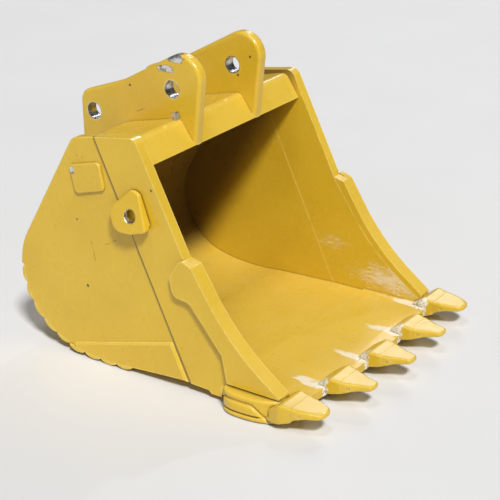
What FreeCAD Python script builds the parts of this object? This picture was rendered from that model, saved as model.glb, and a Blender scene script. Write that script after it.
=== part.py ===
"""Heavy-duty excavator bucket, built as the welded and pinned assembly it is.

Frame: millimetres, origin at the middle of the stick pin's axis, +X along that pin towards the
bucket's left side, -Y forwards over the teeth, +Z up, with the bucket resting on its heel.

Outlines in the side view are given as stations (back, height): the distance behind the corner
teeth's points, and the height above the ground that the bucket rests on. Pieces that come in
pairs are drawn on the bucket's right side, where X is negative, and mirrored.
"""
import FreeCAD, Part
import math
import os
import Sketcher
from FreeCAD import Vector

doc = FreeCAD.newDocument("ExcavatorBucket")

# ---------------------------------------------------------------- driving dimensions
SIZES = {
    "half_width": (750, "centre plane to a side bar's outer face"),
    "inner_half": (688, "centre plane to the sides' inner faces"),
    "panel_half": (742, "centre plane to a side panel's outer face"),
    "panel_thick": (54, "side panel"),
    "bar_thick": (62, "side bar"),
    "pin_back": (1243, "stick pin behind the corner teeth's points"),
    "pin_height": (1478, "stick pin above the ground"),
    "link_back": (1792, "link pin behind the corner teeth's points"),
    "link_height": (1267, "link pin above the ground"),
    "pin_radius": (45, "bore of the ear bushes"),
    "bush_radius": (51, "outside of the ear bushes"),
    "ear_outer": (307, "centre plane to an ear's outer face"),
    "ear_thick": (70, "ear"),
    "ear_round": (22, "rounding of an ear's edges"),
    "heel_back": (1593, "centre of the heel's curve, behind the corner teeth's points"),
    "heel_height": (443, "centre of the heel's curve, above the ground"),
    "heel_radius": (399, "heel curve of the wrapper's outside"),
    "rear_radius": (421, "heel curve of the side panels above the wear bars"),
    "sole_radius": (1258, "flatter curve under the heel, wrapper's outside"),
    "wrapper_thick": (34, "wrapper plate"),
    "wrapper_front": (640, "wrapper's front end, at the cutting edge's back"),
    "front_low": (48, "underside of the wrapper's front end above the ground"),
    "rear_bar_count": (5, "wear bars round the heel's curve"),
    "sole_bar_count": (4, "wear bars under the sole"),
    "heel_bar_pitch": (114, "between heel wear bars, nearly"),
    "heel_bar_crown": (22, "heel wear bar at its middle"),
    "heel_bar_edge": (7, "heel wear bar at its long edges"),
    "heel_bar_gap": (7, "between heel wear bars"),
    "wear_thick": (14, "heel side plate"),
    "cutter_leaf": (30, "side cutter's leaf on the side bar"),
    "raised_pad_thick": (16, "raised pad"),
    "lug_foot": (68, "lifting lug's stand-off at its foot"),
    "lug_head": (24, "lifting lug's stand-off at its head"),
    "lug_hole": (35, "lifting lug's hole, radius"),
    "lip_low": (48, "cutting edge's underside above the ground"),
    "lip_thick": (46, "cutting edge"),
    "lip_bow": (79, "cutting edge's bow between the corner teeth"),
    "lip_edge": (235, "cutting edge's front at a corner tooth, behind its point"),
    "tooth_count": (5, "teeth"),
    "tooth_pitch": (368, "between tooth centres"),
    "shroud_high": (132, "corner shroud's top above the ground"),
    "adapter_half": (102, "half an adapter's width"),
    "retainer_radius": (10, "tooth retainer pin"),
    "retainer_half": (76, "half a tooth retainer pin's length"),
    "corner_retainer_half": (84, "half a corner tooth retainer pin's length"),
    "retainer_play": (0.05, "radial clearance round a retainer pin"),
    "retainer_back": (122, "retainer pin behind the tooth's point"),
    "retainer_height": (113, "retainer pin above the ground"),
    "tip_back": (165, "rear face of a tooth tip behind its point"),
}
sheet = doc.addObject("Spreadsheet::Sheet", "Sizes")
for row, (alias, (value, note)) in enumerate(SIZES.items(), start=1):
    sheet.set(f"A{row}", note)
    sheet.set(f"B{row}", str(value))
    sheet.setAlias(f"B{row}", alias)
doc.recompute()


def size(alias):
    """The sheet's value for an alias."""
    return float(sheet.get(alias))


PARTS = {}


def keep(piece, label):
    """Name a finished sub-part and list it for writing."""
    piece.Label = label
    PARTS[label] = piece
    return piece


# ---------------------------------------------------------------- geometry helpers
def station(back, height):
    """Side-view station to (y, z)."""
    return back - size("pin_back"), height - size("pin_height")


def line_or_arc(start, middle, end):
    """Arc through three points, or a line where they lie in a row."""
    bow = (middle - start).cross(end - start).Length
    if bow < 1e-3 * (end - start).Length:
        return Part.LineSegment(start, end)
    return Part.Arc(start, middle, end)


def rounded_loop(corners):
    """Closed outline of lines and tangent arcs.

    Each corner is (u, v) or (u, v, radius). A corner (u, v, "through", u2, v2) ends an arc that
    starts at the corner before it and passes through (u2, v2).
    """
    starts, ends, bends = [], [], []
    count = len(corners)
    for index, corner in enumerate(corners):
        here = Vector(corner[0], corner[1], 0)
        if len(corner) != 3:
            starts.append(here)
            ends.append(here)
            bends.append(None)
            continue
        before = (Vector(*corners[index - 1][:2], 0) - here).normalize()
        after = (Vector(*corners[(index + 1) % count][:2], 0) - here).normalize()
        half = before.getAngle(after) / 2
        reach = corner[2] / math.tan(half)
        starts.append(here + before * reach)
        ends.append(here + after * reach)
        towards = (before + after).normalize()
        middle = here + towards * (corner[2] / math.sin(half) - corner[2])
        bends.append(Part.Arc(starts[-1], middle, ends[-1]))
    loop = []
    for index, corner in enumerate(corners):
        if len(corner) == 5:
            through = Vector(corner[3], corner[4], 0)
            loop.append(line_or_arc(ends[index - 1], through, starts[index]))
        elif (starts[index] - ends[index - 1]).Length > 1e-6:
            loop.append(Part.LineSegment(ends[index - 1], starts[index]))
        if bends[index]:
            loop.append(bends[index])
    return loop


def side_loop(corners):
    """rounded_loop for corners given as side-view stations."""
    moved = []
    for corner in corners:
        spot = station(*corner[:2])
        if len(corner) == 5:
            moved.append(spot + ("through",) + station(*corner[3:]))
        else:
            moved.append(spot + tuple(corner[2:]))
    return rounded_loop(moved)


def circle_at(place, radius):
    return [Part.Circle(Vector(*place, 0), Vector(0, 0, 1), radius)]


def body_named(name):
    return doc.addObject("PartDesign::Body", name)


def sketch_on(body, role, loops, offset=None):
    """Sketch on one of the body's own origin planes, lifted by an expression."""
    sketch = body.newObject("Sketcher::SketchObject", body.Name + "_sketch")
    own_plane = next(item for item in body.Origin.OriginFeatures if item.Role == role)
    sketch.AttachmentSupport = [(own_plane, "")]
    sketch.MapMode = "FlatFace"
    if offset:
        sketch.setExpression("AttachmentOffset.Base.z", offset)
    for loop in loops:
        for edge in loop:
            sketch.addGeometry(edge, False)
    for index in range(len(sketch.Geometry)):
        sketch.addConstraint(Sketcher.Constraint("Block", index))
    return sketch


def pad(body, sketch, length, both_ways=False):
    feature = body.newObject("PartDesign::Pad", body.Name + "_pad")
    feature.Profile = sketch
    feature.setExpression("Length", length)
    feature.Midplane = both_ways
    return feature


def pocket(body, sketch, length, both_ways=False):
    """Pocket towards the sketch's normal, or both ways from it, checked to remove metal."""
    doc.recompute()
    before = body.Shape.Volume
    feature = body.newObject("PartDesign::Pocket", body.Name + "_pocket")
    feature.Profile = sketch
    feature.setExpression("Length", length)
    feature.Midplane = both_ways
    feature.Reversed = not both_ways
    doc.recompute()
    if body.Shape.Volume > before - 1:
        raise RuntimeError(f"{body.Name}: pocket cuts nothing")
    return feature


def plate(name, corners, start, thick):
    """Plate across X: side-view outline, from X = start, thick towards +X."""
    body = body_named(name)
    pad(body, sketch_on(body, "YZ_Plane", [side_loop(corners)], start), thick)
    return body


def round_edges(body, radius, wanted):
    """Fillet the last feature's edges whose middle point is wanted."""
    doc.recompute()
    base = body.Tip
    names = []
    for index, edge in enumerate(base.Shape.Edges, start=1):
        middle = edge.valueAt((edge.FirstParameter + edge.LastParameter) / 2)
        if wanted(middle):
            names.append(f"Edge{index}")
    fillet = body.newObject("PartDesign::Fillet", body.Name + "_fillet")
    fillet.Base = (base, names)
    fillet.setExpression("Radius", radius)
    return fillet


def keep_pair(source, label):
    """A piece made on the bucket's right side, and its mirror image on the left."""
    keep(source, label + "_right")
    twin = doc.addObject("Part::Mirroring", source.Name + "_twin")
    twin.Source = source
    twin.Normal = (1, 0, 0)
    keep(twin, label + "_left")


def carved(piece, tools):
    """The piece with each tool's shape cut out of it."""
    for tool in tools:
        cut = doc.addObject("Part::Cut", piece.Name + "_cut")
        cut.Base = piece
        cut.Tool = tool
        piece = cut
    return piece


# ---------------------------------------------------------------- the heel's outline
HEEL = (size("heel_back"), size("heel_height"))
REAR_TILT = math.radians(30.5)
FIRST_BAR = math.radians(2)
HEEL_TURN = math.radians(-77)
outer = size("heel_radius")
inner = outer - size("wrapper_thick")
sole_step = size("sole_radius") - outer
SOLE = (HEEL[0] - sole_step * math.cos(HEEL_TURN), HEEL[1] - sole_step * math.sin(HEEL_TURN))
SOLE_STOP = math.radians(-97.6)
floor_low = SOLE[1] - size("sole_radius")


def heel_point(radius, angle):
    """Point on the heel's curve, angle measured up from straight back."""
    return HEEL[0] + radius * math.cos(angle), HEEL[1] + radius * math.sin(angle)


def sole_point(radius, angle):
    """Point on the flatter curve under the heel, where radius is the heel curve's there."""
    reach = radius + sole_step
    return SOLE[0] + reach * math.cos(angle), SOLE[1] + reach * math.sin(angle)


def heel_down(radius, start):
    """Heel outline from an angle on the rear curve down and forwards to the sole's front end."""
    return [
        heel_point(radius, start),
        heel_point(radius, HEEL_TURN) + ("through",) + heel_point(radius, (start + HEEL_TURN) / 2),
        sole_point(radius, SOLE_STOP)
        + ("through",) + sole_point(radius, (HEEL_TURN + SOLE_STOP) / 2),
    ]


def heel_up(radius, start):
    """heel_down walked the other way."""
    return [
        sole_point(radius, SOLE_STOP),
        heel_point(radius, HEEL_TURN)
        + ("through",) + sole_point(radius, (HEEL_TURN + SOLE_STOP) / 2),
        heel_point(radius, start) + ("through",) + heel_point(radius, (start + HEEL_TURN) / 2),
    ]


def up_the_rear(radius, height):
    """Point at a height on the straight rear slope that is tangent to the heel's curve."""
    back, level = heel_point(radius, REAR_TILT)
    return back - (height - level) * math.tan(REAR_TILT), height


# ---------------------------------------------------------------- sides
DIVIDER_TOP = (1421, 1311)
DIVIDER_FOOT = (844, 52)
lip_high = size("lip_low") + size("lip_thick")
rear = size("rear_radius")
panel = plate("SidePanel", [
    DIVIDER_TOP,
    (1576, 1280, 85),
    heel_point(rear, REAR_TILT),
    heel_point(rear, FIRST_BAR) + ("through",) + heel_point(rear, (REAR_TILT + FIRST_BAR) / 2),
] + heel_down(outer, FIRST_BAR) + [DIVIDER_FOOT], "-Sizes.panel_half", "Sizes.panel_thick")
keep_pair(panel, "side_panel")

BAR_TOP_FRONT = (1150, 1352, 55)
BAR_FRONT = [(850, 735, 60), (598, 355, 1265), (251, lip_high)]
side_bar = plate("SideBar", [DIVIDER_TOP, BAR_TOP_FRONT] + BAR_FRONT + [
    (size("wrapper_front"), lip_high),
    (size("wrapper_front"), 32),
    (705, 32),
    (722, 48),
    DIVIDER_FOOT,
], "-Sizes.half_width", "Sizes.bar_thick")
keep_pair(side_bar, "side_bar")

# ---------------------------------------------------------------- wrapper and torque tube
TUBE_FRONT = (1100, 1192)
TUBE_TOP = [(1190, 1329, 45), (1541, 1251, 300)]
TUBE_REAR = up_the_rear(outer, 1231)
TUBE_LOW_REAR = up_the_rear(outer, 1130)
TUBE_INNER_REAR = up_the_rear(inner, 1112)
front_low = size("front_low")
front_high = front_low + size("wrapper_thick")
wrapper = plate("Wrapper", [(size("wrapper_front"), front_high), (846, front_high, 500)]
                + heel_up(inner, REAR_TILT) + [TUBE_INNER_REAR, TUBE_LOW_REAR]
                + heel_down(outer, REAR_TILT) + [(846, front_low, 500),
                                                 (size("wrapper_front"), front_low)],
                "-Sizes.inner_half", "2 * Sizes.inner_half")
keep(wrapper, "wrapper")

tube = plate("TorqueTube", [TUBE_FRONT] + TUBE_TOP + [TUBE_REAR, TUBE_LOW_REAR, TUBE_INNER_REAR],
             "-Sizes.inner_half", "2 * Sizes.inner_half")
TUBE_HOLLOW = [(1146, 1216), (1202, 1296, 25), (1538, 1222, 200), (1575, 1203), (1610, 1146)]
pocket(tube, sketch_on(tube, "YZ_Plane", [side_loop(TUBE_HOLLOW)]), "2 * Sizes.inner_half", True)
keep(tube, "torque_tube")

# ---------------------------------------------------------------- heel wear bars
def rear_at(share, lift=0):
    """Point off the wrapper's rear curve by lift, at a share of the way down its wear bars."""
    return heel_point(outer + lift, FIRST_BAR + share * (HEEL_TURN - FIRST_BAR))


def sole_at(share, lift=0):
    """Point off the wrapper's sole by lift, at a share of the way forwards along it."""
    return sole_point(outer + lift, HEEL_TURN + share * (SOLE_STOP - HEEL_TURN))


def wear_bar(number, place_at, count, index, half):
    """Full-width bar with a crowned face, one of count in a row along the rear or the sole."""
    gap = size("heel_bar_gap") / size("heel_bar_pitch") / count / 2
    first, last = index / count + gap, (index + 1) / count - gap
    middle = (first + last) / 2
    thin, crown = size("heel_bar_edge"), size("heel_bar_crown")
    bar = plate(f"HeelBar{number}", [
        place_at(first),
        place_at(last) + ("through",) + place_at(middle),
        place_at(last, thin),
        place_at(first, thin) + ("through",) + place_at(middle, crown),
    ], f"-({half})", f"2 * ({half})")
    keep(bar, f"heel_bar_{number}")


rear_count, sole_count = int(size("rear_bar_count")), int(size("sole_bar_count"))
for index in range(rear_count):
    wear_bar(index + 1, rear_at, rear_count, index, "Sizes.panel_half")
for index in range(sole_count):
    wear_bar(rear_count + index + 1, sole_at, sole_count, index,
             "Sizes.panel_half + Sizes.wear_thick")

# ---------------------------------------------------------------- pieces on the sides
WEAR_START = 0.11
wear = plate("HeelSidePlate", [
    (956, 261),
    (1642, 72),
    sole_at(WEAR_START),
    sole_at(1) + ("through",) + sole_at((1 + WEAR_START) / 2),
    (862, 51),
], "-Sizes.panel_half - Sizes.wear_thick", "Sizes.wear_thick")
keep_pair(wear, "heel_side_plate")

raised_pad = plate("RaisedPad",
                   [(1596, 1128, 18), (1389, 1180, 25), (1362, 1027, 18), (1563, 970, 30)],
                   "-Sizes.panel_half - Sizes.raised_pad_thick", "Sizes.raised_pad_thick")
keep_pair(raised_pad, "raised_pad")

CUTTER_TOP = (792, 735, 15)
CUTTER_FRONT = [(572, 379, 1300), (262, 146)]
cutter = body_named("SideCutter")
leaf_loop = side_loop([
    (860, 765, 25),
    (935, 655, 55),
    (915, 545, 50),
    (815, 540, 60),
    (610, 290, 70),
    (585, 140),
    (262, 140),
] + CUTTER_FRONT[::-1] + [CUTTER_TOP])
pad(cutter, sketch_on(cutter, "YZ_Plane", [leaf_loop], "-Sizes.half_width - Sizes.cutter_leaf"),
    "Sizes.cutter_leaf")
nose_loop = side_loop([(859, 752), CUTTER_TOP] + CUTTER_FRONT + BAR_FRONT[::-1])
pad(cutter, sketch_on(cutter, "YZ_Plane", [nose_loop], "-Sizes.half_width"), "Sizes.bar_thick")
cutter_fitted = carved(cutter, [side_bar])
keep_pair(cutter_fitted, "side_cutter")

# Lifting lug: a D of plate that leans out towards its foot, with a pocket behind its hole.
LUG_TOP, LUG_LOW = 1085, 840
LUG_EYE = (1162, 943)
lug = plate("LiftingLug", [
    (1165, LUG_TOP, 40),
    (1116, 1066, 20),
    (1052, 878, 12),
    (1150, 848, 60),
    (1262, 848, 60),
    (1305, 960, 60),
], "-Sizes.half_width - Sizes.lug_foot", "Sizes.lug_foot")
lug_low, lug_top = station(0, LUG_LOW)[1], station(0, LUG_TOP)[1]
foot_face = -size("half_width") - size("lug_foot")
head_face = -size("half_width") - size("lug_head")
lean_loop = rounded_loop([(foot_face, lug_low), (head_face, lug_top), (foot_face - 5, lug_top)])
pocket(lug, sketch_on(lug, "XZ_Plane", [lean_loop]), "4 * Sizes.pin_back", True)
eye = sketch_on(lug, "YZ_Plane", [circle_at(station(*LUG_EYE), size("lug_hole"))],
                "-Sizes.half_width")
pocket(lug, eye, "2 * Sizes.lug_foot", True)
throat_loop = side_loop([(1240, 985, 40), (1108, 985, 20), (1078, 905), (1030, 890), (1030, 830),
                         (1240, 830)])
throat = sketch_on(lug, "YZ_Plane", [throat_loop], "-Sizes.half_width - 18")
pocket(lug, throat, "Sizes.lug_foot", False)
keep_pair(lug, "lifting_lug")

# ---------------------------------------------------------------- ears and their bushes
EAR_FOOT = up_the_rear(outer, 930)
EAR_REAR_LOW = (1889, 1045, 60)


def on_ear_face(middle):
    """Whether an edge lies on one of the ear's two flat faces."""
    outer_face = -size("ear_outer")
    return min(abs(middle.x - outer_face), abs(middle.x - outer_face - size("ear_thick"))) < 0.01


ear = plate("Ear", [
    TUBE_FRONT,
    (1027, 1775, 128),
    (1587, 1472, 400),
    (1889, 1365, 75),
    EAR_REAR_LOW,
    EAR_FOOT,
    TUBE_REAR,
    TUBE_TOP[1],
    TUBE_TOP[0],
], "-Sizes.ear_outer", "Sizes.ear_thick")
tube_top = station(0, 1335)[1]
round_edges(ear, "Sizes.ear_round", lambda middle: middle.z > tube_top and on_ear_face(middle))
EYES = {"stick": ("pin_back", "pin_height"), "link": ("link_back", "link_height")}
for back, height in EYES.values():
    bore = circle_at(station(size(back), size(height)), size("bush_radius"))
    pocket(ear, sketch_on(ear, "YZ_Plane", [bore]), "4 * Sizes.ear_outer", True)
keep_pair(ear, "ear")

for name, (back, height) in EYES.items():
    bush = body_named(name.capitalize() + "Bush")
    place = station(size(back), size(height))
    rings = [circle_at(place, size("bush_radius")), circle_at(place, size("pin_radius"))]
    pad(bush, sketch_on(bush, "YZ_Plane", rings, "-Sizes.ear_outer"), "Sizes.ear_thick")
    keep_pair(bush, name + "_bush")

# ---------------------------------------------------------------- cutting edge
corner_tooth = (size("tooth_count") - 1) / 2 * size("tooth_pitch")
bow_radius = (corner_tooth ** 2 + size("lip_bow") ** 2) / (2 * size("lip_bow"))


def bow(across):
    """How far the bowed front stands ahead of the corner teeth's line, at an X."""
    sagitta = bow_radius - math.sqrt(bow_radius ** 2 - across ** 2)
    return size("lip_bow") - sagitta


def lip_front(across):
    """Y of the cutting edge's front at an X."""
    return size("lip_edge") - bow(across) - size("pin_back")


half_width = size("half_width")
lip_rear = size("wrapper_front") - size("pin_back")
lip = body_named("CuttingEdge")
lip_loop = rounded_loop([
    (half_width, lip_rear),
    (half_width, lip_front(half_width)),
    (-half_width, lip_front(half_width), "through", 0, lip_front(0)),
    (-half_width, lip_rear),
])
pad(lip, sketch_on(lip, "XY_Plane", [lip_loop], "Sizes.lip_low - Sizes.pin_height"),
    "Sizes.lip_thick")
keep(lip, "cutting_edge")

# ---------------------------------------------------------------- corner shrouds
shroud = body_named("CornerShroud")
cheek_loop = rounded_loop([
    (-690, 606 - size("pin_back")),
    (-800, 606 - size("pin_back"), 30),
    (-838, 540 - size("pin_back"), 80),
    (-838, 420 - size("pin_back"), 60),
    (-812, 344 - size("pin_back"), 80),
    (-788, 299 - size("pin_back"), 80),
    (-752, 262 - size("pin_back")),
    (-690, 263 - size("pin_back")),
])
pad(shroud, sketch_on(shroud, "XY_Plane", [cheek_loop], "-Sizes.pin_height"), "Sizes.shroud_high")
RIB_GROOVES = [
    [(-860, 94), (-806, 84), (-806, 72), (-860, 62)],
    [(-860, 29), (-790, 29), (-790, 23), (-860, 23)],
]
for groove in RIB_GROOVES:
    loop = rounded_loop([(across, height - size("pin_height")) for across, height in groove])
    pocket(shroud, sketch_on(shroud, "XZ_Plane", [loop]), "4 * Sizes.pin_back", True)
keep_pair(carved(shroud, [lip, side_bar, cutter_fitted]), "corner_shroud")

# ---------------------------------------------------------------- teeth
TIP_HALF, TIP_ROOT_HALF = 57, 90
CORNER_TIP_HALF = 75
NOSE_HALF = 50
NOSE_FRONT = 72
NOSE_ROOT_LOW, NOSE_ROOT_HIGH = 84, 134
NOSE_TIP_LOW, NOSE_TIP_HIGH = 108, 126
LEG_HALF = 60


def tooth_place(index):
    """X of a tooth, and how far its point stands ahead of the corner teeth's."""
    across = index * size("tooth_pitch") - corner_tooth
    return across, bow(across)


def move_to_tooth(body, across, ahead):
    """Place a body drawn for a tooth on the centre plane, its point at the corner teeth's line."""
    body.Placement = FreeCAD.Placement(Vector(across, -ahead, 0), FreeCAD.Rotation())


def plan_trim(body, corners):
    """Cut away all that lies outside a plan outline of (across, back) corners."""
    around = rounded_loop([(-400, -1800), (400, -1800), (400, 0), (-400, 0)])
    inside = rounded_loop([(corner[0], corner[1] - size("pin_back")) + tuple(corner[2:])
                           for corner in corners])
    trim = sketch_on(body, "XY_Plane", [around, inside])
    pocket(body, trim, "4 * Sizes.pin_height", True)


def both_sides(half_outline):
    """Plan outline from (half width, back) corners, front to rear, on both sides."""
    other = [(-corner[0],) + tuple(corner[1:]) for corner in half_outline]
    return half_outline + other[::-1]


def is_corner(index):
    return index in (0, int(size("tooth_count")) - 1)


def nose_outline(rear, grow):
    """Adapter's nose in the side view, running back to a station, grown all round."""
    return side_loop([
        (rear, NOSE_ROOT_LOW - grow),
        (rear, NOSE_ROOT_HIGH + grow),
        (NOSE_FRONT - grow, NOSE_TIP_HIGH + grow),
        (NOSE_FRONT - grow, NOSE_TIP_LOW - grow),
    ])


def adapter_body(index, ahead, across):
    """Adapter that straddles the cutting edge, its nose reaching forward into the tip."""
    body = body_named(f"Adapter{index + 1}")
    tip_back, half = size("tip_back"), size("adapter_half")
    strap = [(tip_back, 144), (225, 152, 30), (303, lip_high + 5), (303, lip_high - 10)]
    if is_corner(index):
        under = [(300, 60), (330, 40), (318, 25), (240, 34, 60), (tip_back, 60)]
    else:
        under = [(250, lip_high - 10), (245, 56), (tip_back, 72)]
    outline = sketch_on(body, "YZ_Plane", [side_loop(strap + under)])
    pad(body, outline, "2 * Sizes.adapter_half", True)
    plan_trim(body, both_sides([(TIP_ROOT_HALF, tip_back - 1), (half - 1, 235, 60),
                                (half - 12, 290, 40), (half - 28, 331)]))
    if not is_corner(index):
        leg = side_loop([(200, 90), (235, 90), (235, size("lip_low")), (330, size("lip_low")),
                         (330, 34, 8), (250, 34, 60), (185, 68)])
        pad(body, sketch_on(body, "YZ_Plane", [leg]), f"2 * {LEG_HALF}", True)
    nose = nose_outline(tip_back + 1, 0)
    pad(body, sketch_on(body, "YZ_Plane", [nose]), f"2 * {NOSE_HALF - 1}", True)
    retainer_hole(body)
    move_to_tooth(body, across, ahead)
    return body


def retainer_hole(body):
    place = station(size("retainer_back"), size("retainer_height"))
    hole = circle_at(place, size("retainer_radius") + size("retainer_play"))
    pocket(body, sketch_on(body, "YZ_Plane", [hole]), "Sizes.half_width", True)


def tip_body(index, ahead, across):
    """Replaceable tooth point: a blunt blade, hollow at the back for the adapter's nose."""
    front_half = CORNER_TIP_HALF if is_corner(index) else TIP_HALF
    low, high = (104, 131) if is_corner(index) else (112, 138)
    rear_face = size("tip_back") - 0.5
    body = body_named(f"Tip{index + 1}")
    outline = side_loop([
        (rear_face, 73),
        (rear_face, 143),
        (90, 140, 200),
        (0, high, 11),
        (0, low, 11),
        (95, 98, 150),
    ])
    pad(body, sketch_on(body, "YZ_Plane", [outline]), f"2 * {TIP_ROOT_HALF}", True)
    plan_trim(body, both_sides([(front_half, -1, 14), (front_half + 6, 70, 150),
                                (TIP_ROOT_HALF - 0.5, rear_face + 1)]))
    cavity = nose_outline(rear_face + 1, 1)
    pocket(body, sketch_on(body, "YZ_Plane", [cavity]), f"2 * {NOSE_HALF}", True)
    retainer_hole(body)
    move_to_tooth(body, across, ahead)
    return body


def retainer_body(index, ahead, across):
    body = body_named(f"Retainer{index + 1}")
    place = station(size("retainer_back"), size("retainer_height"))
    half = "Sizes.corner_retainer_half" if is_corner(index) else "Sizes.retainer_half"
    pad(body, sketch_on(body, "YZ_Plane", [circle_at(place, size("retainer_radius"))]),
        f"2 * {half}", True)
    move_to_tooth(body, across, ahead)
    return body


for index in range(int(size("tooth_count"))):
    across, ahead = tooth_place(index)
    adapter = adapter_body(index, ahead, across)
    tools = [lip]
    if index == 0:
        tools += [PARTS[name] for name in ("side_bar_right", "side_cutter_right",
                                           "corner_shroud_right")]
    if index == size("tooth_count") - 1:
        tools += [PARTS[name] for name in ("side_bar_left", "side_cutter_left",
                                           "corner_shroud_left")]
    keep(carved(adapter, tools), f"adapter_{index + 1}")
    keep(tip_body(index, ahead, across), f"tooth_tip_{index + 1}")
    keep(retainer_body(index, ahead, across), f"retainer_pin_{index + 1}")

# ---------------------------------------------------------------- check and write
doc.recompute()
for item in doc.Objects:
    if "Invalid" in item.State or "Error" in item.State:
        raise RuntimeError(f"{item.Label}: {item.State}")
for label, piece in PARTS.items():
    if piece.Shape.isNull() or not piece.Shape.isValid():
        raise RuntimeError(f"{label}: bad shape")
os.makedirs("parts", exist_ok=True)
for label, piece in PARTS.items():
    piece.Shape.exportStep(f"parts/{label}.step")
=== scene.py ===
"""Looks of the excavator bucket: worn glossy yellow paint over cast and welded steel.

Metres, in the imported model's frame: origin at the middle of the stick pin, -Y forwards over the
teeth, +Z up. Places on the side view are stations (back, height), as on the bucket's drawing:
behind the corner teeth's points, and above the ground.
"""

import math

import bmesh
import bpy
from mathutils import Matrix, Vector
from mathutils.bvhtree import BVHTree


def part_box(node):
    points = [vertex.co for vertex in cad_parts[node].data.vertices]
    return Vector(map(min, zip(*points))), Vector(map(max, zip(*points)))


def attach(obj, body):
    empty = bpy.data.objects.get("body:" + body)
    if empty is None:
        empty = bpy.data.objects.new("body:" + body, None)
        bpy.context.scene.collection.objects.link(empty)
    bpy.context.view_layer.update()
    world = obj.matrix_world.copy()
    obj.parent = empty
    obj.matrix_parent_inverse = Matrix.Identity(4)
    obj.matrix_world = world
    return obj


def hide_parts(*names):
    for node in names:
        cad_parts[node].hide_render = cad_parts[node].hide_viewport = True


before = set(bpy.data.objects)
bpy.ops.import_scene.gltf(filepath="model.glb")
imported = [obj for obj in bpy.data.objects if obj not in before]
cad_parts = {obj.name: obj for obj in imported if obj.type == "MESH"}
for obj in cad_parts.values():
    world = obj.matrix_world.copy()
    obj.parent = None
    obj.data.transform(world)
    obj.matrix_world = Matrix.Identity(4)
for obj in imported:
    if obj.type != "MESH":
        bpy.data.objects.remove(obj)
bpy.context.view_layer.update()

SIDES = {"right": -1, "left": 1}       # with the sign of X there
PIN_BACK, PIN_HEIGHT = 1.243, 1.478
GROUND = -PIN_HEIGHT
HALF_WIDTH = 0.750
TOOTH_COUNT, TOOTH_PITCH = 5, 0.368
CORNER_TOOTH = 2 * TOOTH_PITCH
HEEL_BARS = 9

# How far the lip's front is bowed forwards from the corner teeth to the middle, and its Y there.
LIP_BOW = 0.079
LIP_FRONT = 0.235 - LIP_BOW - PIN_BACK

# Stations: ends of the joint between side panel and side bar, ends of the front edge of the
# painted shadow in the hollow, middle of the hollow, lifting eye.
SEAM_TOP, SEAM_FOOT = (1.421, 1.311), (0.844, 0.052)
SHADOW_LINE = (1.235, 1.225), (1.891, 0.171)
HOLLOW_MIDDLE = (1.10, 0.65)
EYE = (1.162, 0.943)


def station(across, back, height):
    """Point in the frame for an X and a side-view station."""
    return Vector((across, back - PIN_BACK, height - PIN_HEIGHT))


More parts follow.
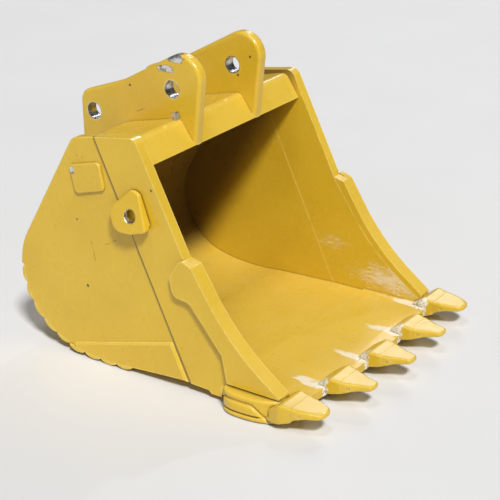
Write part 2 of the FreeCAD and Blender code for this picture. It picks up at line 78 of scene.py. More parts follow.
# ---------------------------------------------------------------- node helpers
class Nodes:
    """Short ways to add and link shader nodes."""

    def __init__(self, material):
        self.tree = material.node_tree
        self.tree.nodes.clear()

    def add(self, kind, **settings):
        """New node of a kind, with its settings."""
        node = self.tree.nodes.new("ShaderNode" + kind)
        for name, value in settings.items():
            setattr(node, name, value)
        return node

    def link(self, source, target):
        self.tree.links.new(source, target)

    def feed(self, socket, value):
        """Link a socket, or set it to a plain value."""
        if isinstance(value, bpy.types.NodeSocket):
            self.link(value, socket)
        else:
            socket.default_value = value

    def math(self, operation, first, second=0.0, clamp=False):
        """Result of an operation on two sockets or numbers."""
        node = self.add("Math", operation=operation, use_clamp=clamp)
        self.feed(node.inputs[0], first)
        self.feed(node.inputs[1], second)
        return node.outputs[0]

    def ramp(self, value, low, high):
        """0 below low, 1 above high, smooth between; low may be the larger."""
        node = self.add("MapRange", interpolation_type="SMOOTHSTEP")
        self.feed(node.inputs["Value"], value)
        start, stop = (low, high) if low < high else (high, low)
        node.inputs["From Min"].default_value = start
        node.inputs["From Max"].default_value = stop
        node.inputs["To Min"].default_value = 0.0 if low < high else 1.0
        node.inputs["To Max"].default_value = 1.0 if low < high else 0.0
        return node.outputs["Result"]

    def noise(self, place, scale, detail=3.0, roughness=0.5, stretch=None, distortion=0.0):
        """Noise at a place, from 0 to 1; stretch scales it differently along X, Y and Z."""
        if stretch:
            mapping = self.add("Mapping")
            mapping.inputs["Scale"].default_value = stretch
            self.link(place, mapping.inputs["Vector"])
            place = mapping.outputs["Vector"]
        node = self.add("TexNoise")
        self.link(place, node.inputs["Vector"])
        node.inputs["Scale"].default_value = scale
        node.inputs["Detail"].default_value = detail
        node.inputs["Roughness"].default_value = roughness
        node.inputs["Distortion"].default_value = distortion
        return node.outputs["Fac"]

    def blend(self, share, first, second):
        """Colour mixed from two by share."""
        node = self.add("Mix", data_type="RGBA")
        self.feed(node.inputs["Factor"], share)
        self.feed(node.inputs["A"], first)
        self.feed(node.inputs["B"], second)
        return node.outputs["Result"]

    def slide(self, share, first, second):
        """Number mixed from two by share."""
        node = self.add("Mix", data_type="FLOAT")
        self.feed(node.inputs["Factor"], share)
        self.feed(node.inputs["A"], first)
        self.feed(node.inputs["B"], second)
        return node.outputs["Result"]

    def dot(self, first, second):
        """Dot product of two vector sockets."""
        node = self.add("VectorMath", operation="DOT_PRODUCT")
        self.link(first, node.inputs[0])
        self.link(second, node.inputs[1])
        return node.outputs["Value"]

    def split(self, vector):
        """X, Y and Z of a vector socket."""
        node = self.add("SeparateXYZ")
        self.link(vector, node.inputs["Vector"])
        return node.outputs["X"], node.outputs["Y"], node.outputs["Z"]

    def bump(self, height, strength, distance, shader):
        """Relief from a height, on a shader's normal."""
        node = self.add("Bump")
        node.inputs["Strength"].default_value = strength
        node.inputs["Distance"].default_value = distance
        self.link(height, node.inputs["Height"])
        self.link(node.outputs["Normal"], shader.inputs["Normal"])

    def near(self, place, centre, reach):
        """1 at a centre, falling to 0 at reach from it; reach may differ along X, Y and Z."""
        node = self.add("Mapping", vector_type="POINT")
        scale = Vector([1.0 / size for size in reach])
        node.inputs["Scale"].default_value = scale
        node.inputs["Location"].default_value = [-c * s for c, s in zip(centre, scale)]
        self.link(place, node.inputs["Vector"])
        length = self.add("VectorMath", operation="LENGTH")
        self.link(node.outputs["Vector"], length.inputs[0])
        return self.math("SUBTRACT", 1.0, length.outputs["Value"], clamp=True)


def new_material(name):
    """Material with its node helper, its object coordinates and its linked shader."""
    material = bpy.data.materials.new(name)
    material.use_nodes = True
    n = Nodes(material)
    place = n.add("TexCoord").outputs["Object"]
    shader = n.add("BsdfPrincipled")
    output = n.add("OutputMaterial")
    n.link(shader.outputs["BSDF"], output.inputs["Surface"])
    return material, n, place, shader


# ---------------------------------------------------------------- paint
PAINT = (0.69, 0.446, 0.022, 1)
PAINT_DEEP = (0.65, 0.412, 0.018, 1)
# Paler tone for random mottle, worn edges and painted highlight on the edges.
PAINT_WORN_AND_HIGHLIGHT = (0.92, 0.74, 0.22, 1)
# Dark of pits and scratches, and painted shade along the groove between side panel and side bar.
PIT_AND_SHADE = (0.045, 0.030, 0.015, 1)
# Painted shade for the corners between pieces.
CREVICE_SHADE = (0.16, 0.075, 0.006, 1)
# Painted shadow at the back of the hollow.
HOLLOW_SHADOW = (0.11, 0.068, 0.028, 1)
# Dust, and painted sheen on the faces that look up.
DUST_AND_SHEEN = (0.84, 0.62, 0.22, 1)
# Primer and painted shade at the broken rim round a chip.
CHIP_RIM_AND_SHADE = (0.20, 0.12, 0.03, 1)
SCUFF = (0.86, 0.80, 0.66, 1)
SCUFF_GRIT = (0.10, 0.075, 0.045, 1)
METAL_DULL = (0.30, 0.28, 0.26, 1)
METAL_BRIGHT = (0.86, 0.85, 0.83, 1)

# Chips measured in the photo: centre, reach along X, Y and Z.
CHIPS = [
    (station(-0.290, 1.215, 1.650), (0.080, 0.080, 0.036)),
    (station(-0.307, 1.280, 1.584), (0.040, 0.075, 0.030)),
    (station(-0.320, 1.225, 1.338), (0.040, 0.045, 0.036)),
    (station(-0.758, 1.582, 1.100), (0.030, 0.036, 0.030)),
]

# Pits as (centre, radius), and scratches as (start, end), in metres.
PITS = [
    (Vector((-0.745, 0.332, -0.658)), 0.0055),
    (Vector((-0.745, 0.285, -1.035)), 0.0085),
    (Vector((-0.750, -0.191, -0.386)), 0.0065),
    (Vector((-0.307, 0.286, -0.022)), 0.0070),
    (Vector((0.237, -0.119, 0.062)), 0.0070),
    (Vector((0.237, -0.036, -0.053)), 0.0070),
]
SCRATCHES = [
    (Vector((-0.745, 0.146, -0.765)), Vector((-0.745, 0.060, -0.716))),
    (Vector((-0.745, 0.242, -0.758)), Vector((-0.745, 0.216, -0.880))),
    (Vector((-0.307, 0.250, -0.165)), Vector((-0.307, 0.190, -0.135))),
]
PIT_DEPTH = 0.03           # how far along X a pit reaches
SCRATCH_DEPTH = 0.02       # the same for a scratch
SCRATCH_EDGE = 0.0030, 0.0014

# Bare patches on the lip: their middle from the next tooth's and from the front, and half sizes.
PATCH_FROM_TOOTH, PATCH_FROM_FRONT = 0.085, 0.030
PATCH_HALF_WIDTH, PATCH_HALF_LENGTH = 0.050, 0.062

# Where the scuffs of the inner side are thickest, as (centre, reach).
SCUFF_REGION = station(0.70, 0.46, 0.19), (0.34, 0.40, 0.15)
SCUFF_BEHIND = station(0.72, 0.86, 0.34), (0.20, 0.22, 0.09)

# The rubbed ring round the hole of a lifting eye, out to this radius on both sides of the bucket.
RUBBED_REACH = (20.0, 0.0385, 0.0385)


def measured_pits(n, place):
    """1 inside each of PITS, with a slightly uneven outline."""
    total = 0.0
    uneven = n.math("MULTIPLY", n.noise(place, 160, detail=2), 0.5)
    for centre, radius in PITS:
        inside = n.near(place, centre, (PIT_DEPTH, radius * 1.6, radius * 1.6))
        inside = n.math("GREATER_THAN", n.math("ADD", inside, uneven), 0.6)
        total = n.math("MAXIMUM", inside, total)
    return total


def measured_scratches(n, place):
    """1 along each of SCRATCHES, broken up by a noise."""
    total = 0.0
    across, along, height = n.split(place)
    broken = n.ramp(n.noise(place, 60, detail=3), 0.40, 0.50)
    for start, end in SCRATCHES:
        run, middle = end - start, (start + end) / 2
        reach = run.length / 2
        run.normalize()
        step_y = n.math("SUBTRACT", along, middle.y)
        step_z = n.math("SUBTRACT", height, middle.z)
        lengthways = n.math("ADD", n.math("MULTIPLY", step_y, run.y),
                            n.math("MULTIPLY", step_z, run.z))
        sideways = n.math("SUBTRACT", n.math("MULTIPLY", step_y, run.z),
                          n.math("MULTIPLY", step_z, run.y))
        line = n.ramp(n.math("ABSOLUTE", sideways), *SCRATCH_EDGE)
        ends = n.ramp(n.math("ABSOLUTE", lengthways), reach, 0.8 * reach)
        line = n.math("MULTIPLY", line, ends)
        on_face = n.math("COMPARE", across, start.x)
        on_face.node.inputs[2].default_value = SCRATCH_DEPTH
        total = n.math("MAXIMUM", n.math("MULTIPLY", line, on_face), total)
    return n.math("MULTIPLY", total, broken)


def chip_mask(n, place):
    """Ragged spots at the places in CHIPS: 1 on bare metal, and 1 on the broken rim round it,
    darkened as primer and painted shade.
    """
    total = 0.0
    for centre, reach in CHIPS:
        total = n.math("ADD", n.near(place, centre, reach), total)
    ragged = n.noise(place, 42, detail=4, roughness=0.65)
    level = n.math("ADD", total, n.math("MULTIPLY", ragged, 1.1))
    return n.ramp(level, 0.88, 0.90), n.ramp(level, 0.79, 0.83)


def pit_mask(n, place):
    """1 in small pits scattered over the paint."""
    cells = n.add("TexVoronoi", feature="F1")
    n.link(place, cells.inputs["Vector"])
    cells.inputs["Scale"].default_value = 6.5
    split = n.add("SeparateColor")
    n.link(cells.outputs["Color"], split.inputs["Color"])
    chosen = n.math("GREATER_THAN", split.outputs["Red"], 0.86)
    size = n.math("MULTIPLY", split.outputs["Green"], 0.030)
    inside = n.math("LESS_THAN", cells.outputs["Distance"], n.math("ADD", size, 0.012))
    return n.math("MULTIPLY", inside, chosen)


def scratch_mask(n, place):
    """Few thin curved scratches: the zero line of a noise, kept only in patches."""
    wander = n.noise(place, 7, detail=1.5, distortion=1.2, stretch=(1, 0.6, 1.4))
    line = n.ramp(n.math("ABSOLUTE", n.math("SUBTRACT", wander, 0.5)), 0.0035, 0.0012)
    patch = n.ramp(n.noise(place, 3.1, detail=2), 0.67, 0.72)
    return n.math("MULTIPLY", line, patch)


def lip_depth(n, across, along):
    """How far behind the cutting edge's bowed front a place lies."""
    bow = LIP_BOW / CORNER_TOOTH ** 2
    swept = n.math("MULTIPLY", n.math("MULTIPLY", across, across), bow)
    front = n.math("ADD", LIP_FRONT, swept)
    return n.math("SUBTRACT", along, front)


def lip_wear_mask(n, place):
    """Bare patches beside each tooth's near flank, and smears that run back from them."""
    across, along, _ = n.split(place)
    depth = lip_depth(n, across, along)
    from_patch = n.math("PINGPONG", n.math("ADD", across, CORNER_TOOTH + PATCH_FROM_TOOTH),
                        TOOTH_PITCH / 2)
    ragged = n.noise(place, 34, detail=4, roughness=0.7)
    sideways = n.math("POWER", n.math("DIVIDE", from_patch, PATCH_HALF_WIDTH), 2.0)
    lengthways = n.math("DIVIDE", n.math("SUBTRACT", depth, PATCH_FROM_FRONT), PATCH_HALF_LENGTH)
    lengthways = n.math("MULTIPLY", lengthways, lengthways)
    spread = n.math("SQRT", n.math("ADD", sideways, lengthways))
    level = n.math("SUBTRACT", n.math("MULTIPLY", ragged, 1.4), spread)
    patch = n.ramp(level, -0.10, 0.0)
    smear = n.noise(place, 13, detail=4, roughness=0.65, stretch=(1.6, 0.25, 1))
    back = n.math("MULTIPLY", n.ramp(depth, 0.30, 0.10), n.ramp(from_patch, 0.060, 0.015))
    smear = n.ramp(n.math("ADD", smear, n.math("MULTIPLY", back, 0.38)), 0.70, 0.80)
    return patch, n.math("MULTIPLY", smear, n.ramp(depth, 0.02, 0.06))


def behind_line(n, place, first, second):
    """Distance of a place behind the side-view line between two stations."""
    _, along, height = n.split(place)
    start = station(0, *first)
    run = (station(0, *second) - start).normalized()
    return n.math("ADD", n.math("MULTIPLY", n.math("SUBTRACT", along, start.y), -run.z),
                  n.math("MULTIPLY", n.math("SUBTRACT", height, start.z), run.y))


def seam_shade_mask(n, place):
    """1 on the line where a side panel meets its side bar: painted shade in the groove there."""
    across, _, _ = n.split(place)
    away = n.math("ABSOLUTE", behind_line(n, place, SEAM_TOP, SEAM_FOOT))
    outside = n.math("GREATER_THAN", n.math("ABSOLUTE", across), HALF_WIDTH - 0.02)
    return n.math("MULTIPLY", n.ramp(away, 0.0085, 0.0055), outside)


def hollow_shadow_mask(n, place, normal):
    """1 on the inner faces at the back of the hollow: painted shadow, dark behind the shadow's
    front edge.
    """
    inwards = n.add("VectorMath", operation="SUBTRACT")
    inwards.inputs[0].default_value = station(0, *HOLLOW_MIDDLE)
    n.link(place, inwards.inputs[1])
    facing = n.dot(inwards.outputs["Vector"], normal)
    deep = n.ramp(behind_line(n, place, *SHADOW_LINE), -0.16, 0.06)
    return n.math("MULTIPLY", deep, n.ramp(facing, 0.02, 0.10))


def edge_wear_and_highlight_mask(n, place, normal, reach):
    """Share of thinned paint and painted highlight along the edges, out to reach from them."""
    rounded = n.add("Bevel", samples=6)
    rounded.inputs["Radius"].default_value = reach
    edge = n.ramp(n.dot(rounded.outputs["Normal"], normal), 0.995, 0.86)
    broken = n.ramp(n.noise(place, 24, detail=4, roughness=0.6), 0.35, 0.62)
    return n.math("MULTIPLY", edge, n.math("ADD", n.math("MULTIPLY", broken, 0.5), 0.25))


def dust_and_sheen_mask(n, place, normal):
    """Share of dust and painted sheen, more on the faces that look up more."""
    _, _, upright = n.split(normal)
    settled = n.math("ADD", n.math("MULTIPLY", n.noise(place, 9, detail=5), 0.34), 0.02)
    return n.math("MULTIPLY", n.ramp(upright, 0.20, 0.85), settled)


def crevice_shade_mask(n):
    """Share of painted shade in the corners between pieces, from how occluded they are."""
    crevice = n.add("AmbientOcclusion", samples=5)
    crevice.inputs["Distance"].default_value = 0.018
    return n.math("MULTIPLY", n.ramp(crevice.outputs["AO"], 0.72, 0.40), 0.75)


def scuff_mask(n, place):
    """Pale streaks on the inner faces, thickest in the two measured regions."""
    streaks = n.noise(place, 34, detail=8, roughness=0.95, stretch=(0.8, 0.40, 1.8))
    behind = n.math("MULTIPLY", n.near(place, *SCUFF_BEHIND), 0.7)
    region = n.math("MAXIMUM", n.near(place, *SCUFF_REGION), behind)
    return n.ramp(n.math("ADD", streaks, n.math("MULTIPLY", region, 0.26)), 0.63, 0.70)


def gloss(shader):
    """Clear coat of the enamel."""
    shader.inputs["Specular IOR Level"].default_value = 0.35
    shader.inputs["Coat Weight"].default_value = 0.40
    shader.inputs["Coat Roughness"].default_value = 0.07


def paint_relief(n, place, shader, marks):
    """Orange peel, waves and the marks in the paint, as relief on the shader."""
    peel = n.math("MULTIPLY", n.noise(place, 210, detail=2), 0.10)
    waves = n.math("MULTIPLY", n.noise(place, 17, detail=3), 0.9)
    height = n.math("ADD", n.math("ADD", peel, waves), n.math("MULTIPLY", marks, 0.8))
    n.bump(height, 0.55, 0.0018, shader)


def paint_material(name, edge_reach, lip_wear=False, inner_scuff_and_shadow=False, seam_shade=False,
                   bare_eye=False):
    """Worn gloss enamel, with painted light and shade in some marks. edge_reach is how far from an
    edge the paint is thinned and lightened as painted highlight, in metres.
    """
    material, n, place, shader = new_material(name)
    normal = n.add("NewGeometry").outputs["Normal"]

    cloud = n.ramp(n.noise(place, 2.6, detail=4), 0.35, 0.68)
    mottle = n.ramp(n.noise(place, 38, detail=5, roughness=0.65), 0.25, 0.75)
    colour = n.blend(cloud, PAINT, PAINT_DEEP)
    colour = n.blend(n.math("MULTIPLY", mottle, 0.08), colour, PAINT_WORN_AND_HIGHLIGHT)
    # Thinned paint and painted highlight along the edges.
    colour = n.blend(edge_wear_and_highlight_mask(n, place, normal, edge_reach), colour, PAINT_WORN_AND_HIGHLIGHT)
    # Dust and painted sheen, lighter on the faces that look up.
    colour = n.blend(dust_and_sheen_mask(n, place, normal), colour, DUST_AND_SHEEN)
    # Painted shade in the corners between pieces.
    colour = n.blend(crevice_shade_mask(n), colour, CREVICE_SHADE)
    if seam_shade:
        # Painted shade along the groove between side panel and side bar.
        colour = n.blend(n.math("MULTIPLY", seam_shade_mask(n, place), 0.80), colour, PIT_AND_SHADE)
    if inner_scuff_and_shadow:
        # Painted shadow on the inner faces at the back of the hollow.
        hollow = hollow_shadow_mask(n, place, normal)
        colour = n.blend(n.math("MULTIPLY", hollow, 0.85), colour, HOLLOW_SHADOW)

    pits = n.math("MAXIMUM", pit_mask(n, place), measured_pits(n, place))
    colour = n.blend(n.math("MULTIPLY", pits, 0.9), colour, PIT_AND_SHADE)
    scratches = n.math("MAXIMUM", scratch_mask(n, place), measured_scratches(n, place))
    colour = n.blend(n.math("MULTIPLY", scratches, 0.55), colour, PIT_AND_SHADE)

    chips, broken = chip_mask(n, place)
    if bare_eye:
        rubbed = n.ramp(n.near(place, station(0, *EYE), RUBBED_REACH), 0.002, 0.006)
        chips = n.math("MAXIMUM", chips, rubbed)
    # Dark rim round each chip: primer and painted shade that give it depth.
    colour = n.blend(n.math("MULTIPLY", broken, 0.7), colour, CHIP_RIM_AND_SHADE)
    bright = n.ramp(n.noise(place, 38, detail=3), 0.34, 0.50)
    colour = n.blend(chips, colour, n.blend(bright, METAL_DULL, METAL_BRIGHT))

    rough = n.slide(n.noise(place, 14, detail=4), 0.20, 0.40)
    rough = n.slide(n.math("MAXIMUM", chips, pits), rough, 0.45)
    marks = n.math("MAXIMUM", chips, n.math("MAXIMUM", pits, scratches))
    marks = n.math("MULTIPLY", marks, -1)
    if lip_wear:
        patch, smear = lip_wear_mask(n, place)
        grit = n.ramp(n.noise(place, 48, detail=4, roughness=0.8), 0.57, 0.61)
        bare = n.blend(n.math("MULTIPLY", grit, 0.80), SCUFF, SCUFF_GRIT)
        colour = n.blend(n.math("MULTIPLY", smear, 0.80), colour, SCUFF)
        colour = n.blend(patch, colour, bare)
        rough = n.slide(n.math("MAXIMUM", patch, smear), rough, 0.62)
        marks = n.math("SUBTRACT", marks, n.math("MULTIPLY", patch, 0.8))
    if inner_scuff_and_shadow:
        scuff = scuff_mask(n, place)
        colour = n.blend(n.math("MULTIPLY", scuff, 0.62), colour, SCUFF)
        rough = n.slide(scuff, rough, 0.6)

    n.link(colour, shader.inputs["Base Color"])
    n.link(rough, shader.inputs["Roughness"])
    n.link(chips, shader.inputs["Metallic"])
    gloss(shader)
    paint_relief(n, place, shader, marks)
    return material


def steel_material(name, light, dark, streak, rough_low, rough_high):
    """Bare machined steel, with turning marks round the X axis and stains."""
    material, n, place, shader = new_material(name)
    marks = n.noise(place, streak, detail=3, stretch=(6, 0.4, 0.4))
    stain = n.ramp(n.noise(place, 28, detail=5, roughness=0.7), 0.42, 0.66)
    shade = tuple(0.8 * part for part in light[:3]) + (1,)
    colour = n.blend(n.ramp(marks, 0.35, 0.65), light, shade)
    colour = n.blend(stain, colour, dark)
    n.link(colour, shader.inputs["Base Color"])
    shader.inputs["Metallic"].default_value = 1.0
    n.link(n.slide(marks, rough_low, rough_high), shader.inputs["Roughness"])
    n.bump(marks, 0.4, 0.0006, shader)
    return material


def floor_material():
    """Pale, faintly clouded floor."""
    material, n, place, shader = new_material("pale_floor")
    cloud = n.noise(place, 1.1, detail=3)
    n.link(n.blend(cloud, (0.72, 0.72, 0.72, 1), (0.76, 0.76, 0.76, 1)),
           shader.inputs["Base Color"])
    shader.inputs["Roughness"].default_value = 0.55
    shader.inputs["Specular IOR Level"].default_value = 0.25
    return material


paint = paint_material("yellow_paint", 0.014)
paint_lip = paint_material("yellow_paint_lip", 0.010, lip_wear=True, inner_scuff_and_shadow=True)
paint_sides = paint_material("yellow_paint_sides", 0.014, inner_scuff_and_shadow=True, seam_shade=True)
paint_inside = paint_material("yellow_paint_inside", 0.010, inner_scuff_and_shadow=True)
paint_lug = paint_material("yellow_paint_lug", 0.012, bare_eye=True)
bush_steel = steel_material("bush_steel", (0.74, 0.74, 0.75, 1), (0.20, 0.19, 0.18, 1), 40,
                            0.22, 0.42)
retainer_steel = steel_material("retainer_steel", (0.42, 0.41, 0.40, 1), (0.22, 0.19, 0.16, 1),
                                60, 0.35, 0.5)


# ---------------------------------------------------------------- shape helpers
SAME_POINT, SAME_PLANE = 2e-5, 1.0     # a node's own seams, in metres and degrees
ON_FACE, ON_LINE = 1e-4, 1e-3
CONTACT = 0.0015           # an edge this near to another node is buried in the joint
SHARP_ANGLE = 28           # in degrees; edges that bend more are rounded
CREASE_ANGLE = 38          # edges that still bend more after that stay creased


def placed(label, data):
    """New object with its data, linked into the scene."""
    thing = bpy.data.objects.new(label, data)
    bpy.context.scene.collection.objects.link(thing)
    return thing


def outer_x(name):
    """X of the face of a node that looks away from the bucket's middle."""
    low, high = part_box(name)
    return low.x if low.x < 0 else high.x


def others_tree(name):
    """Search tree over all nodes but one, to tell exposed edges from buried ones."""
    points, faces = [], []
    for other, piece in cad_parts.items():
        if other == name:
            continue
        start = len(points)
        points += [vertex.co.copy() for vertex in piece.data.vertices]
        faces += [[start + index for index in polygon.vertices] for polygon in piece.data.polygons]
    return BVHTree.FromPolygons(points, faces)


def mesh_of(name):
    """bmesh of a node with its seams closed and its flat faces whole."""
    work = bmesh.new()
    work.from_mesh(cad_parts[name].data)
    bmesh.ops.remove_doubles(work, verts=work.verts, dist=SAME_POINT)
    bmesh.ops.dissolve_limit(work, angle_limit=math.radians(SAME_PLANE), verts=work.verts,
                             edges=work.edges)
    return work


def piece_from(work, name, label, material, body="bucket"):
    """Object from a bmesh that stands for a node and rides on its body."""
    mesh = bpy.data.meshes.new(label)
    work.to_mesh(mesh)
    work.free()
    mesh.materials.append(material)
    piece = placed(label, mesh)
    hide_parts(name)
    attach(piece, body)
    return piece


def bends(edge, angle):
    """Whether the faces at an edge meet at more than an angle in degrees."""
    return edge.is_manifold and edge.calc_face_angle() > math.radians(angle)


def even_shading(piece):
    """Shade a piece's flat faces flat and let only its rounded edges turn."""
    weights = piece.modifiers.new("even_faces", "WEIGHTED_NORMAL")
    weights.keep_sharp = True


def softened(name, width, material, body="bucket", steps=3, flat_bevels=None,
             groove=None):
    """A node's plate with its exposed edges rounded to width.

    flat_bevels, if given, is (wanted(edge), width): those edges get one flat bevel first.
    groove, if given, is wanted(edge) for joint edges that are rounded too, to leave a groove.
    """
    work = mesh_of(name)
    tree = others_tree(name)

    def exposed(edge):
        middle = (edge.verts[0].co + edge.verts[1].co) / 2
        return tree.find_nearest(middle, CONTACT)[0] is None

    if flat_bevels:
        wanted, flat_width = flat_bevels
        chosen = [edge for edge in work.edges if bends(edge, SHARP_ANGLE) and wanted(edge)]
        bmesh.ops.bevel(work, geom=chosen, offset=flat_width, segments=1, profile=0.5,
                        affect="EDGES", clamp_overlap=False)
    chosen = [edge for edge in work.edges if bends(edge, SHARP_ANGLE)
              and (exposed(edge) or (groove and groove(edge)))]
    bmesh.ops.bevel(work, geom=chosen, offset=width, segments=steps, profile=0.5,
                    affect="EDGES", clamp_overlap=True)
    for face in work.faces:
        face.smooth = True
    for edge in work.edges:
        edge.smooth = not bends(edge, CREASE_ANGLE)
    piece = piece_from(work, name, name + "_finished", material, body)
    even_shading(piece)
    return piece


# ---------------------------------------------------------------- plates
# Rounding of the exposed edges, and paint.
SIDE_PLATES = {
    "side_panel": (0.007, paint_sides),
    "side_bar": (0.008, paint_sides),
    "raised_pad": (0.007, paint),
    "side_cutter": (0.010, paint),
    "ear": (0.005, paint),
}
CROSS_PLATES = {
    "wrapper": (0.006, paint_inside),
    "torque_tube": (0.006, paint_inside),
    "cutting_edge": (0.010, paint_lip),
}
HEEL_BAR_ROUNDING = 0.005
BUSH_ROUNDING = 0.003
HEEL_PLATE_ROUNDING, HEEL_PLATE_BEVEL = 0.003, 0.0125
HEEL_PLATE_EDGE = 0.15     # its long edges are longer than this


def on_seam(name):
    """Test for the edges of a side panel's outer face that run along its side bar."""
    top, foot = station(outer_x(name), *SEAM_TOP), station(outer_x(name), *SEAM_FOOT)
    run = (foot - top).normalized()

    def wanted(edge):
        return all(run.cross(vertex.co - top).length < ON_LINE for vertex in edge.verts)
    return wanted


for side in SIDES:
    for kind, (width, material) in SIDE_PLATES.items():
        name = f"{kind}_{side}"
        groove = on_seam(name) if kind == "side_panel" else None
        softened(name, width, material, groove=groove)
    for kind in ("stick_bush", "link_bush"):
        softened(f"{kind}_{side}", BUSH_ROUNDING, bush_steel, steps=2)


def is_top_or_front(name):
    """Test for a heel side plate's outer edges along its top and its front."""
    outer = outer_x(name)

    def wanted(edge):
        on_face = all(abs(vertex.co.x - outer) < ON_FACE for vertex in edge.verts)
        return on_face and edge.calc_length() > HEEL_PLATE_EDGE
    return wanted


for side in SIDES:
    name = f"heel_side_plate_{side}"
    softened(name, HEEL_PLATE_ROUNDING, paint, steps=2,
             flat_bevels=(is_top_or_front(name), HEEL_PLATE_BEVEL))

for name, (width, material) in CROSS_PLATES.items():
    softened(name, width, material)
for number in range(1, HEEL_BARS + 1):
    softened(f"heel_bar_{number}", HEEL_BAR_ROUNDING, paint)


# ---------------------------------------------------------------- castings
TOOTH_GRAIN, TOOTH_PASSES = 0.004, 34
LUG_GRAIN, LUG_PASSES = 0.0035, 26
POINT_REACH = 0.135        # how far behind its point a tooth is narrowed
POINT_WIDTH = 0.74         # width left at the point, as a share
POINT_SWEEP = 0.034        # how far back the point's corners are
POINT_CORNER = 0.45        # share of the reach over which they come forwards again
POINT_GAP = 0.001          # how far the point stays inside the CAD's box
HOLE_RADIUS, DRILL_LENGTH = 0.0103, 0.30
RETAINER_ROUNDING = 0.002


def smooth_step(value, low, high):
    """0 below low, 1 above high, smooth between."""
    share = min(1.0, max(0.0, (value - low) / (high - low)))
    return share * share * (3 - 2 * share)


def cast(names, grain, passes):
    """bmesh of nodes as one casting: remeshed evenly at grain, smoothed until its edges flow."""
    joined = bmesh.new()
    for name in names:
        joined.from_mesh(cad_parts[name].data)
    mesh = bpy.data.meshes.new("casting")
    joined.to_mesh(mesh)
    joined.free()
    holder = placed("casting", mesh)
    remesh = holder.modifiers.new("even_mesh", "REMESH")
    remesh.mode = "VOXEL"
    remesh.voxel_size = grain
    flow = holder.modifiers.new("flowing_edges", "SMOOTH")
    flow.factor = 0.5
    flow.iterations = passes
    graph = bpy.context.evaluated_depsgraph_get()
    work = bmesh.new()
    work.from_object(holder, graph)
    bpy.data.objects.remove(holder)
    return work


def taper_point(work, low, high):
    """Narrow a tooth towards its point, round it in plan and bring it to its tip's box."""
    middle_x, half = (low.x + high.x) / 2, (high.x - low.x) / 2
    point_y = low.y + POINT_GAP
    tip_y = min(vertex.co.y for vertex in work.verts)
    for vertex in work.verts:
        share = (vertex.co.y - tip_y) / POINT_REACH
        if share < 1:
            across = vertex.co.x - middle_x
            corner = min(1.0, abs(across) / half)
            width = POINT_WIDTH + (1 - POINT_WIDTH) * smooth_step(share, 0, 1)
            vertex.co.x = middle_x + across * width
            vertex.co.y += POINT_SWEEP * corner ** 2.5 * max(0.0, 1 - share / POINT_CORNER)
            vertex.co.y -= (tip_y - point_y) * (1 - share)


def finished_casting(work, name, material):
    """Smoothly shaded, painted piece from a casting's bmesh."""
    for face in work.faces:
        face.smooth = True
    piece = piece_from(work, name, name + "_cast", material)
    return piece


def half_of(work, plane_y, keep_front):
    """A copy of a casting, cut at a plane across Y and closed there."""
    part = work.copy()
    geometry = part.verts[:] + part.edges[:] + part.faces[:]
    cut = bmesh.ops.bisect_plane(part, geom=geometry, plane_co=(0, plane_y, 0),
                                 plane_no=(0, 1, 0), clear_outer=keep_front,
                                 clear_inner=not keep_front)
    rim = [item for item in cut["geom_cut"] if isinstance(item, bmesh.types.BMEdge)]
    bmesh.ops.holes_fill(part, edges=rim, sides=0)
    return part


def drill(piece, centre):
    """Cut a retainer's hole along X through a piece."""
    drill_mesh = bpy.data.meshes.new("drill")
    work = bmesh.new()
    along_x = Matrix.Translation(centre) @ Matrix.Rotation(math.radians(90), 4, "Y")
    bmesh.ops.create_cone(work, cap_ends=True, segments=40, radius1=HOLE_RADIUS,
                          radius2=HOLE_RADIUS, depth=DRILL_LENGTH, matrix=along_x)
    work.to_mesh(drill_mesh)
    work.free()
    tool = placed("drill", drill_mesh)
    cut = piece.modifiers.new("hole", "BOOLEAN")
    cut.object = tool
    cut.operation = "DIFFERENCE"
    graph = bpy.context.evaluated_depsgraph_get()
    result = bpy.data.meshes.new_from_object(piece.evaluated_get(graph), depsgraph=graph)
    piece.modifiers.remove(cut)
    piece.data = result
    bpy.data.objects.remove(tool)


for number in range(1, TOOTH_COUNT + 1):
    adapter, tip, pin = f"adapter_{number}", f"tooth_tip_{number}", f"retainer_pin_{number}"
    # The photo shows no bare patch beside tooth 1.
    adapter_paint = paint if number == 1 else paint_lip
    tooth = cast([adapter, tip, pin], TOOTH_GRAIN, TOOTH_PASSES)
    tip_low, tip_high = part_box(tip)
    pin_low, pin_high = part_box(pin)
    taper_point(tooth, tip_low, tip_high)
    front = finished_casting(half_of(tooth, tip_high.y, True), tip, paint)
    drill(front, (pin_low + pin_high) / 2)
    finished_casting(half_of(tooth, tip_high.y, False), adapter, adapter_paint)
    tooth.free()
    piece = softened(pin, RETAINER_ROUNDING, retainer_steel,
                     body=f"retainer_{number}", steps=2)
    # The pin's two ends are painted over, as the tooth round them is.
    piece.data.materials.append(paint)
    for face in piece.data.polygons:
        face.material_index = 1 if abs(face.normal.x) > 0.9 else 0

for side in SIDES:
    lug = f"lifting_lug_{side}"
    finished_casting(cast([lug], LUG_GRAIN, LUG_PASSES), lug, paint_lug)


# ---------------------------------------------------------------- corner shrouds
SHROUD_HIGH = 0.132
SHROUD_ROWS = 52
SHROUD_INNER = 0.700       # X of its flat back, inside the side bar
# Outline in plan as (across, back), from its rear to its front.
SHROUD_PLAN = [(0.742, 0.606), (0.800, 0.606), (0.838, 0.545), (0.838, 0.410), (0.824, 0.344),
               (0.806, 0.295), (0.775, 0.250)]
PLAN_SPACING, PLAN_PASSES = 0.006, 60
# The groove between the ribs and the slot below it: height, spread and depth.
GROOVE_HEIGHT, GROOVE_SPREAD, GROOVE_DEPTH = 0.094, 0.011, 0.013
GROOVE_DROP = 0.066        # how far the groove comes down towards the front
SLOT_HEIGHT, SLOT_SPREAD, SLOT_DEPTH = 0.031, 0.0045, 0.016
# How high its rounded top and foot edges are, and how far they fall back.
CROWN_TOP, CROWN_FOOT, CROWN_DEPTH = 0.014, 0.012, 0.010


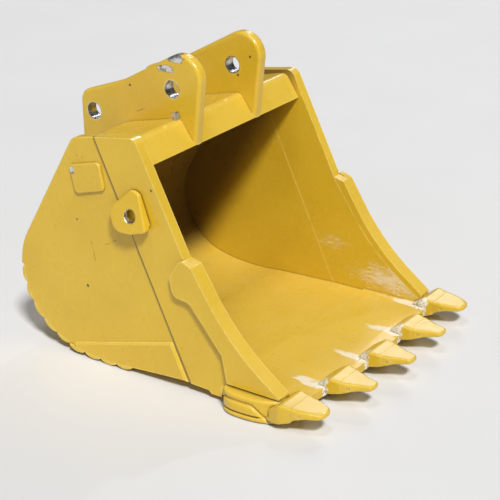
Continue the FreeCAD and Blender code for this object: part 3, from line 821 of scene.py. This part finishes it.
def rounded_path(corners, spacing, passes):
    """Points along a polyline at even spacing, averaged so that its corners turn smoothly."""
    points = []
    for first, second in zip(corners, corners[1:]):
        first, second = Vector(first), Vector(second)
        count = max(1, round((second - first).length / spacing))
        points += [first.lerp(second, index / count) for index in range(count)]
    points.append(Vector(corners[-1]))
    for _ in range(passes):
        middle = [(a + 2 * b + c) / 4 for a, b, c in zip(points, points[1:], points[2:])]
        points = [points[0]] + middle + [points[-1]]
    return points


def shroud_inset(along, height):
    """How far a shroud's face lies inside its plan, at a share of its length and a height."""
    groove_height = GROOVE_HEIGHT - GROOVE_DROP * smooth_step(along, 0.60, 0.86)
    groove = GROOVE_DEPTH * math.exp(-((height - groove_height) / GROOVE_SPREAD) ** 2)
    groove *= 1 - smooth_step(along, 0.86, 0.96)
    slot = SLOT_DEPTH * math.exp(-((height - SLOT_HEIGHT) / SLOT_SPREAD) ** 2)
    slot *= smooth_step(along, 0.10, 0.16) * (1 - smooth_step(along, 0.70, 0.78))
    crown = CROWN_DEPTH * (1 - min(1.0, (SHROUD_HIGH - height) / CROWN_TOP)) ** 2
    crown += CROWN_DEPTH * (1 - min(1.0, height / CROWN_FOOT)) ** 2
    return groove + slot + crown


def build_shroud(side):
    """Shroud swept along its plan, its ribs and slot worked into the face."""
    sign = SIDES[side]
    path = rounded_path(SHROUD_PLAN, PLAN_SPACING, PLAN_PASSES)
    work = bmesh.new()
    columns = []
    for index, point in enumerate(path):
        before, after = path[max(0, index - 1)], path[min(len(path) - 1, index + 1)]
        run = (after - before).normalized()
        outward = Vector((-run.y, run.x))
        share = index / (len(path) - 1)
        column = [work.verts.new(station(sign * SHROUD_INNER, point.y, 0))]
        for row in range(SHROUD_ROWS + 1):
            height = SHROUD_HIGH * row / SHROUD_ROWS
            spot = point - outward * shroud_inset(share, height)
            column.append(work.verts.new(station(sign * spot.x, spot.y, height)))
        column.append(work.verts.new(station(sign * SHROUD_INNER, point.y, SHROUD_HIGH)))
        columns.append(column)
    for first, second in zip(columns, columns[1:]):
        for lower in range(len(first)):
            upper = (lower + 1) % len(first)
            work.faces.new((first[lower], second[lower], second[upper], first[upper]))
    for end in (columns[0], columns[-1]):
        work.faces.new(end)
    bmesh.ops.recalc_face_normals(work, faces=work.faces)
    even_shading(finished_casting(work, f"corner_shroud_{side}", paint))


for side in SIDES:
    build_shroud(side)


# ---------------------------------------------------------------- floor, light and camera
FLOOR_SIZE, FLOOR_GAP = 400, 0.001
# Name, direction from the object, strength, and how wide it looks in degrees.
SUNS = [
    ("main", (-0.42, -0.50, 0.76), 3.15, 9),
    ("ceiling", (-0.28, -0.05, 0.96), 0.5, 14),
    ("side", (-1.0, -0.15, 0.45), 0.28, 50),
    ("back", (0.75, 0.36, 0.50), 0.15, 12),
    ("glint", (0.72, 0.20, 0.66), 0.22, 2),
]
SKY_COLOUR, SKY_STRENGTH = (0.97, 0.98, 1.0, 1), 0.08


def build_floor():
    """Floor just under the bucket's lowest point."""
    bpy.ops.mesh.primitive_plane_add(size=FLOOR_SIZE, location=(0, 0, GROUND - FLOOR_GAP))
    floor = bpy.context.object
    floor.name = "floor"
    floor.data.materials.append(floor_material())


def build_lights():
    """The suns and a faint even sky."""
    for name, towards, strength, width in SUNS:
        light = bpy.data.lights.new(name, "SUN")
        light.energy = strength
        light.angle = math.radians(width)
        lamp = placed(name, light)
        lamp.rotation_euler = Vector(towards).to_track_quat("Z", "Y").to_euler()
    world = bpy.data.worlds.new("studio")
    world.use_nodes = True
    sky = world.node_tree.nodes["Background"]
    sky.inputs["Color"].default_value = SKY_COLOUR
    sky.inputs["Strength"].default_value = SKY_STRENGTH
    bpy.context.scene.world = world
    bpy.context.scene.view_settings.view_transform = "Standard"


CAMERA_PLACE = Vector((-6.0770, -4.5795, 2.2604))
CAMERA_AZIMUTH = math.radians(-54.6327)
CAMERA_ELEVATION = math.radians(23.4108)
CAMERA_ROLL = math.radians(-0.9541)
CAMERA_LENS, CAMERA_SENSOR = 105.06, 36
CAMERA_FAR = 200


def build_camera():
    """Camera at the measured place, looking level but for its elevation and a slight roll."""
    camera_data = bpy.data.cameras.new("camera")
    camera_data.lens = CAMERA_LENS
    camera_data.sensor_width = CAMERA_SENSOR
    camera_data.clip_end = CAMERA_FAR
    camera = placed("camera", camera_data)
    behind = Vector((math.sin(CAMERA_AZIMUTH) * math.cos(CAMERA_ELEVATION),
                     -math.cos(CAMERA_AZIMUTH) * math.cos(CAMERA_ELEVATION),
                     math.sin(CAMERA_ELEVATION)))
    right = Vector((0, 0, 1)).cross(behind).normalized()
    up = behind.cross(right)
    turned_right = math.cos(CAMERA_ROLL) * right + math.sin(CAMERA_ROLL) * up
    turned_up = -math.sin(CAMERA_ROLL) * right + math.cos(CAMERA_ROLL) * up
    axes = Matrix((turned_right, turned_up, behind)).transposed()
    camera.matrix_world = Matrix.Translation(CAMERA_PLACE) @ axes.to_4x4()
    bpy.context.scene.camera = camera


build_floor()
build_lights()
build_camera()
